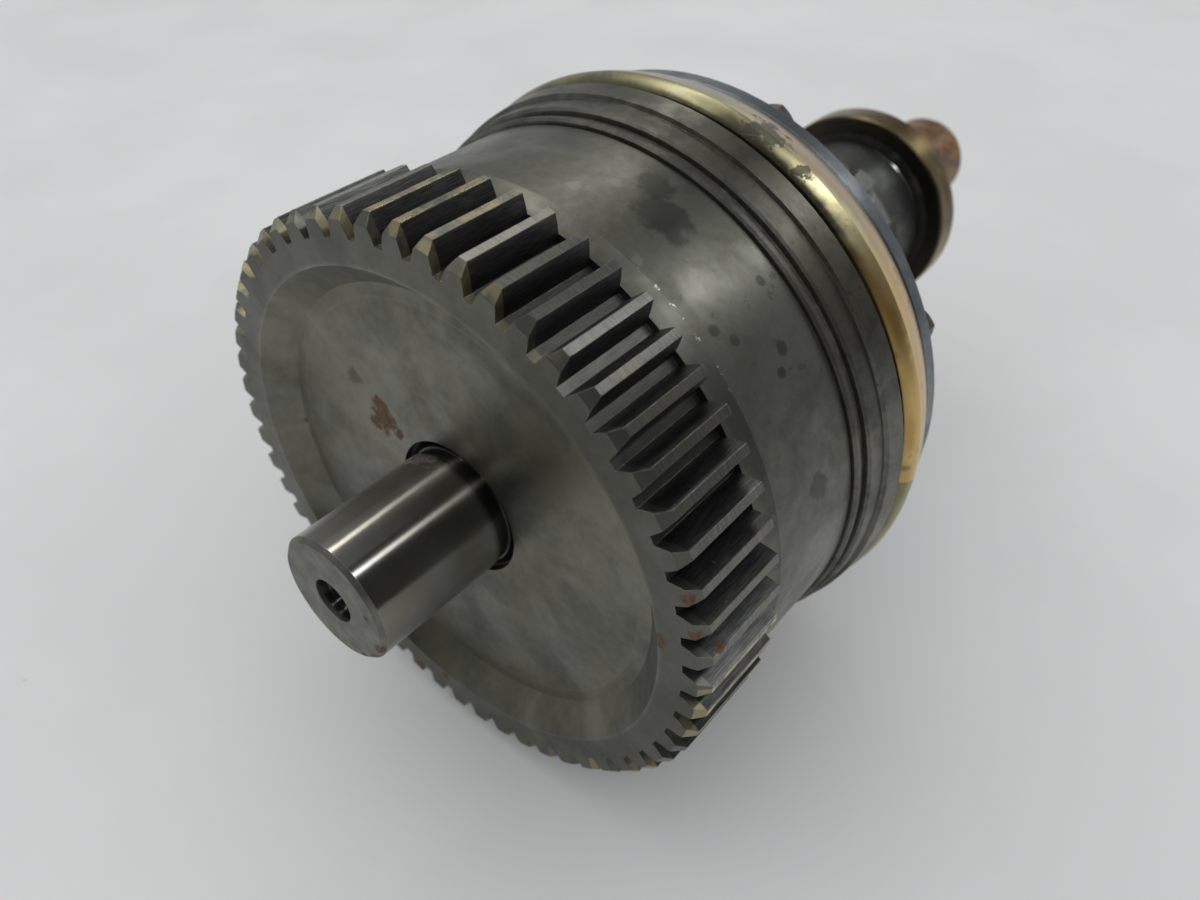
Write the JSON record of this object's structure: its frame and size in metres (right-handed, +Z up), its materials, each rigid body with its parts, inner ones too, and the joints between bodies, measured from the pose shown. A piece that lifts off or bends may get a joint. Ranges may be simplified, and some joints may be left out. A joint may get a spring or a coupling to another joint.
{
  "type": "planetary gearbox",
  "caption": "Coaxial planetary gearbox unit: toothed drum with internal ring gear, planet carrier on the front journal, sun shaft with output pinion and rear bearing.",
  "frame": {"origin": "on the common axis, in the plane of the big gear's front face", "axes": "+X along the axis from the front journal to the rear bearing, +Z up"},
  "size_m": [0.271, 0.148, 0.148],
  "materials": {
    "machined_steel": "dull turned steel with stains",
    "ground_steel": "ground and polished",
    "hardened_steel": "hardened and oiled",
    "bearing_steel": "polished",
    "aged_bearing": "varnished by old oil",
    "zinc_yellow": "yellow zinc plate, glossy",
    "blue_steel": "bright ground edge",
    "bronze": "plain",
    "black_rubber": "matt",
    "gasket_paper": "oily",
    "black_steel": "black oxide",
    "rusty_steel": "light rust"
  },
  "bodies": {
    "carrier": {"carrier_shaft": "ground_steel", "carrier_rear_plate": "hardened_steel", "planet_pins": "ground_steel", "carrier_spacers": "machined_steel", "carrier_screws": "black_steel", "thrust_washers": "bronze", "pilot_bush": "bronze", "front_bearing_inner_ring": "bearing_steel"},
    "drum": {"gear_drum": "machined_steel", "ring_gear": "hardened_steel", "front_seal": "black_rubber", "bearing_circlip": "black_steel", "joint_gaskets": "gasket_paper", "spacer_ring": "machined_steel", "rear_flange": "machined_steel", "plated_ring": "zinc_yellow", "cover_plate": "blue_steel", "cover_bolts": "rusty_steel", "rear_seal": "black_rubber", "front_bearing_outer_ring": "bearing_steel", "hub_bearing_outer_ring": "bearing_steel"},
    "sun_shaft": {"sun_pinion_shaft": "hardened_steel", "end_circlip": "black_steel", "hub_bearing_inner_ring": "bearing_steel", "end_bearing_inner_ring": "bearing_steel"},
    "planet_1": {"planet_gear_1": "hardened_steel", "planet_bush_1": "bronze"},
    "planet_2": {"planet_gear_2": "hardened_steel", "planet_bush_2": "bronze"},
    "planet_3": {"planet_gear_3": "hardened_steel", "planet_bush_3": "bronze"},
    "front_ball_set": {"front_bearing_balls": "bearing_steel", "front_bearing_cage": "blue_steel"},
    "hub_ball_set": {"hub_bearing_balls": "bearing_steel", "hub_bearing_cage": "bronze"},
    "end_ball_set": {"end_bearing_balls": "bearing_steel", "end_bearing_cage": "blue_steel"},
    "end_race": {"end_bearing_outer_ring": "aged_bearing", "end_bearing_shields": "black_rubber"}
  },
  "joints": [
    {"name": "drum_spin", "type": "hinge", "parent": "carrier", "child": "drum", "pos_m": [0, 0, 0], "axis": [1, 0, 0], "continuous": true},
    {"name": "sun_spin", "type": "hinge", "parent": "carrier", "child": "sun_shaft", "pos_m": [0, 0, 0], "axis": [1, 0, 0], "continuous": true},
    {"name": "planet_1_spin", "type": "hinge", "parent": "carrier", "child": "planet_1", "pos_m": [0.047, 0.033, 0], "axis": [1, 0, 0], "continuous": true},
    {"name": "planet_2_spin", "type": "hinge", "parent": "carrier", "child": "planet_2", "pos_m": [0.047, -0.0165, 0.02858], "axis": [1, 0, 0], "continuous": true},
    {"name": "planet_3_spin", "type": "hinge", "parent": "carrier", "child": "planet_3", "pos_m": [0.047, -0.0165, -0.02858], "axis": [1, 0, 0], "continuous": true},
    {"name": "front_balls_spin", "type": "hinge", "parent": "carrier", "child": "front_ball_set", "pos_m": [0, 0, 0], "axis": [1, 0, 0], "continuous": true},
    {"name": "hub_balls_spin", "type": "hinge", "parent": "carrier", "child": "hub_ball_set", "pos_m": [0, 0, 0], "axis": [1, 0, 0], "continuous": true},
    {"name": "end_race_spin", "type": "hinge", "parent": "sun_shaft", "child": "end_race", "pos_m": [0, 0, 0], "axis": [1, 0, 0], "continuous": true},
    {"name": "end_balls_spin", "type": "hinge", "parent": "sun_shaft", "child": "end_ball_set", "pos_m": [0, 0, 0], "axis": [1, 0, 0], "continuous": true}
  ],
  "couplings": [
    {"joint": "sun_spin", "follows": "drum_spin", "ratio": -3.4},
    {"joint": "planet_1_spin", "follows": "drum_spin", "ratio": 2.8333},
    {"joint": "planet_2_spin", "follows": "drum_spin", "ratio": 2.8333},
    {"joint": "planet_3_spin", "follows": "drum_spin", "ratio": 2.8333},
    {"joint": "front_balls_spin", "follows": "drum_spin", "ratio": 0.58529},
    {"joint": "hub_balls_spin", "follows": "drum_spin", "ratio": -0.881},
    {"joint": "end_balls_spin", "follows": "end_race_spin", "ratio": 0.56309}
  ]
}
